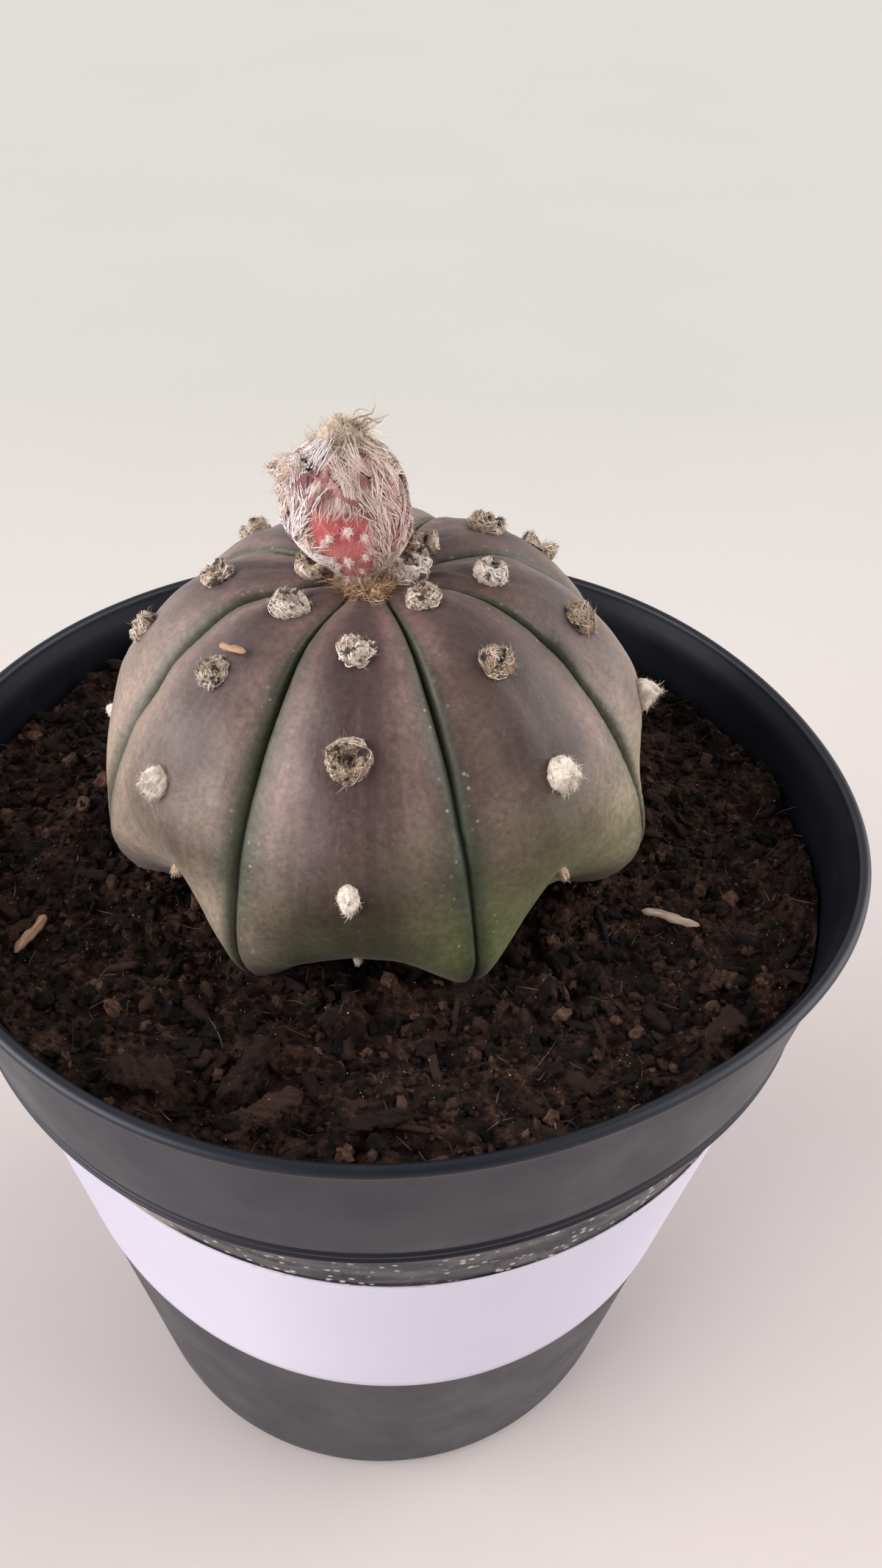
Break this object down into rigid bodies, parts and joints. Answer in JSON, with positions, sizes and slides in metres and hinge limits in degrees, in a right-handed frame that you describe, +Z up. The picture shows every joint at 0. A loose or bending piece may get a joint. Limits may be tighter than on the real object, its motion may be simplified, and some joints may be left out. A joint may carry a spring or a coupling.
{
  "type": "potted star cactus",
  "caption": "Squat ribbed star cactus with woolly areoles and a woolly red fruit, growing in soil in a round tapered plastic nursery pot with a plain paper strip.",
  "frame": {"origin": "centre of the pot's flat base, on the surface it stands on", "axes": "+Z up; -Y is the front, towards the middle of the label; +X to the right seen from the front"},
  "size_m": [0.1502, 0.1502, 0.1909],
  "materials": {
    "pot": "semi-matt dark slate polypropylene",
    "soil": "damp dark potting mix with bark",
    "cactus": "waxy mauve-brown skin, green near the soil, cream wool pads",
    "fruit": "red berry under pinkish-white wool",
    "remains": "dried tan petals and wool",
    "paper": "plain matt paper",
    "tape": "clear film",
    "wood": "pale raw splinter"
  },
  "bodies": {
    "root": {"pot": "pot", "soil": "soil", "cactus_body": "cactus", "fruit": "fruit", "flower_remains": "remains", "label": "paper", "clear_tape": "tape", "wood_sliver_left": "wood", "wood_sliver_right": "wood", "wood_sliver_on_cactus": "wood"}
  },
  "joints": []
}
